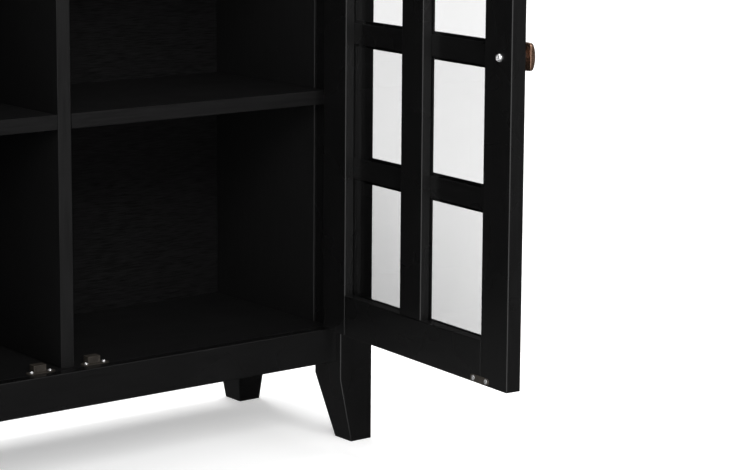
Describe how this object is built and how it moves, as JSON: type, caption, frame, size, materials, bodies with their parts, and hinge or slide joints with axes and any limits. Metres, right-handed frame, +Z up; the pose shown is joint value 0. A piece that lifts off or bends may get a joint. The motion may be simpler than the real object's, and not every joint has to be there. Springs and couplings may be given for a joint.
{
  "type": "media cabinet",
  "caption": "Freestanding storage cabinet on tapered legs, with glazed, gridded doors standing open on shelves either side of a central divider.",
  "frame": {"origin": "on the floor, below the middle of the box that holds the cabinet with its doors open", "axes": "+X to the right seen from the front, +Y to the back of the cabinet, +Z up; the doors open towards -Y"},
  "size_m": [0.9894, 0.7314, 1.05],
  "materials": {
    "black_paint": "black satin paint over wood",
    "black_interior": "black satin paint over fine wood grain",
    "raw_wood": "bare pine",
    "glass": "clear flat glass",
    "knob_bronze": "satin oil-rubbed bronze",
    "catch_bronze": "satin bronze lacquer",
    "magnet": "matt dark grey",
    "bright_steel": "bright zinc",
    "hinge_steel": "dark bronze lacquer"
  },
  "bodies": {
    "carcass": {"top_panel": "black_paint", "leg_front_left": "black_paint", "leg_front_right": "black_paint", "leg_rear_left": "black_paint", "leg_rear_right": "black_paint", "front_rail": "black_paint", "rear_rail": "black_paint", "head_rail": "black_paint", "top_rear_rail": "black_interior", "side_rail_left": "black_paint", "side_rail_right": "black_paint", "side_head_rail_left": "black_paint", "side_head_rail_right": "black_paint", "side_panel_left": "black_interior", "side_panel_right": "black_interior", "bottom_panel": "black_interior", "center_divider": "black_interior", "back_panel": "black_interior", "lower_shelf_left": "black_interior", "lower_shelf_right": "black_interior", "upper_shelf_left": "black_interior", "upper_shelf_right": "black_interior", "shelf_pins": "bright_steel", "catch_bodies": "catch_bronze", "catch_magnets": "magnet", "catch_screws": "bright_steel", "post_hinge_leaves": "hinge_steel", "hinge_pins": "hinge_steel", "post_hinge_screws": "hinge_steel", "corner_blocks": "raw_wood", "block_screws": "bright_steel", "back_screws": "bright_steel", "top_screws": "bright_steel", "dowels": "raw_wood"},
    "left_door": {"left_hinge_stile": "black_paint", "left_free_stile": "black_paint", "left_mid_stile": "black_paint", "left_top_rail": "black_paint", "left_bottom_rail": "black_paint", "left_muntins": "black_paint", "left_glass": "glass", "left_knob": "knob_bronze", "left_knob_screw": "bright_steel", "left_strike_plate": "catch_bronze", "left_strike_screws": "bright_steel", "left_hinge_leaves": "hinge_steel", "left_hinge_screws": "hinge_steel"},
    "right_door": {"right_hinge_stile": "black_paint", "right_free_stile": "black_paint", "right_mid_stile": "black_paint", "right_top_rail": "black_paint", "right_bottom_rail": "black_paint", "right_muntins": "black_paint", "right_glass": "glass", "right_knob": "knob_bronze", "right_knob_screw": "bright_steel", "right_strike_plate": "catch_bronze", "right_strike_screws": "bright_steel", "right_hinge_leaves": "hinge_steel", "right_hinge_screws": "hinge_steel"}
  },
  "joints": [
    {"name": "left_door_hinge", "type": "hinge", "parent": "carcass", "child": "left_door", "pos_m": [-0.424, 0.05503, 0.586], "axis": [0, 0, -1], "range_deg": [-85.2, 24.8]},
    {"name": "right_door_hinge", "type": "hinge", "parent": "carcass", "child": "right_door", "pos_m": [0.424, 0.05503, 0.586], "axis": [0, 0, 1], "range_deg": [-85.2, 24.8]}
  ]
}
